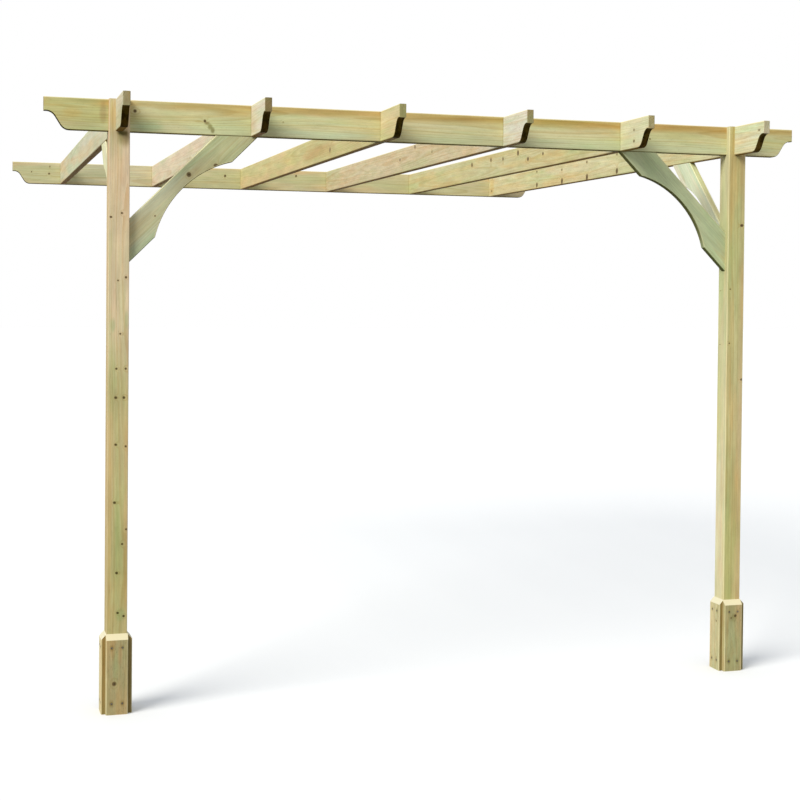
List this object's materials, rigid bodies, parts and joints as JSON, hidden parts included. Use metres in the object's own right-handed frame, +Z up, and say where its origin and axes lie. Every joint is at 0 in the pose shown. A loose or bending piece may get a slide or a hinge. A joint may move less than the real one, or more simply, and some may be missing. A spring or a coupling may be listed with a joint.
{
  "type": "wall-mounted pergola",
  "caption": "Lean-to timber garden pergola: two braced posts and a front beam, rafters running back to a beam fixed to a house wall, ogee-cut beam and rafter ends.",
  "frame": {"origin": "middle of the wall beam's back face, the face that lies on the house wall", "axes": "+Y into the wall, +Z up, +X to the right as seen from the garden in front"},
  "size_m": [3.64, 3.82, 2.68],
  "materials": {
    "post_timber": "planed, pressure-treated softwood",
    "beam_timber": "planed, pressure-treated softwood",
    "rafter_timber": "planed, pressure-treated softwood",
    "brace_timber": "planed, pressure-treated softwood",
    "foot_board_timber": "planed, pressure-treated softwood",
    "screw_steel": "zinc-plated screw heads"
  },
  "bodies": {
    "root": {"brace_left_beam": "brace_timber", "brace_left_rafter": "brace_timber", "brace_right_beam": "brace_timber", "brace_right_rafter": "brace_timber", "foot_board_left_back": "foot_board_timber", "foot_board_left_front": "foot_board_timber", "foot_board_left_left": "foot_board_timber", "foot_board_left_right": "foot_board_timber", "foot_board_right_back": "foot_board_timber", "foot_board_right_front": "foot_board_timber", "foot_board_right_left": "foot_board_timber", "foot_board_right_right": "foot_board_timber", "front_beam": "beam_timber", "post_left": "post_timber", "post_right": "post_timber", "rafter_1": "rafter_timber", "rafter_2": "rafter_timber", "rafter_3": "rafter_timber", "rafter_4": "rafter_timber", "rafter_5": "rafter_timber", "rafter_6": "rafter_timber", "wall_beam": "beam_timber"}
  },
  "joints": []
}
